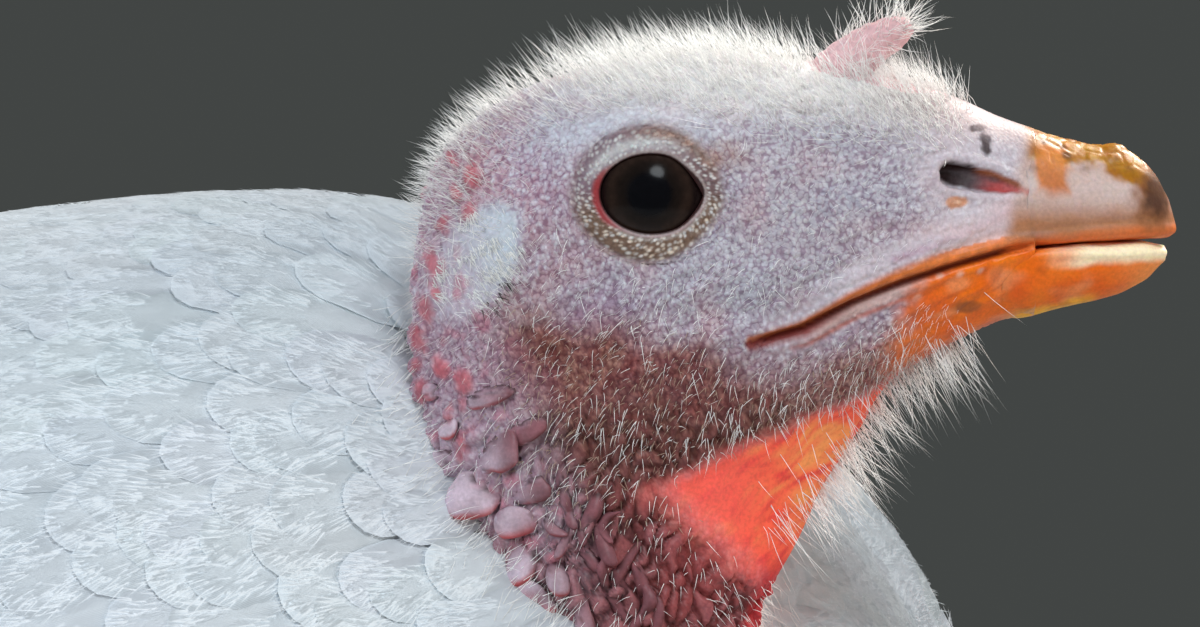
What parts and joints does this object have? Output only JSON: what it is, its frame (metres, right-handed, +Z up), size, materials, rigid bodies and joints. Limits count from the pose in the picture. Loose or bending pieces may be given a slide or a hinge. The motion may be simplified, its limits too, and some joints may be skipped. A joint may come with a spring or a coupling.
{
  "type": "white domestic turkey",
  "caption": "White domestic turkey hen standing still on both feet, neck drawn in, bare head turned to its left; a life-size museum-style animal model.",
  "frame": {"origin": "on the floor, under the middle of the bounding box", "axes": "+X the way the bird's body faces, +Y its left side, +Z up"},
  "size_m": [0.7, 0.3008, 0.5197],
  "materials": {
    "skin": "bare pebbled skin, lavender grey with pink",
    "neck_skin": "wrinkled fleshy skin, maroon with pink lobes",
    "plumage": "soft matt white feathers",
    "horn": "smooth orange horn with a brown tip",
    "eye": "wet, very dark brown",
    "shank": "scaled pale pink skin",
    "claw": "pale horn"
  },
  "bodies": {
    "root": {"claw_hind_left": "claw", "claw_hind_right": "claw", "claw_inner_left": "claw", "claw_inner_right": "claw", "claw_middle_left": "claw", "claw_middle_right": "claw", "claw_outer_left": "claw", "claw_outer_right": "claw", "ear_coverts_left": "plumage", "ear_coverts_right": "plumage", "eye_left": "eye", "eye_right": "eye", "head": "skin", "lower_bill": "horn", "neck": "neck_skin", "shank_left": "shank", "shank_right": "shank", "snood": "skin", "tail": "plumage", "thigh_left": "plumage", "thigh_right": "plumage", "toe_hind_left": "shank", "toe_hind_right": "shank", "toe_inner_left": "shank", "toe_inner_right": "shank", "toe_middle_left": "shank", "toe_middle_right": "shank", "toe_outer_left": "shank", "toe_outer_right": "shank", "trunk": "plumage", "upper_bill": "horn", "wing_coverts_left": "plumage", "wing_coverts_right": "plumage", "wing_flights_left": "plumage", "wing_flights_right": "plumage"}
  },
  "joints": []
}
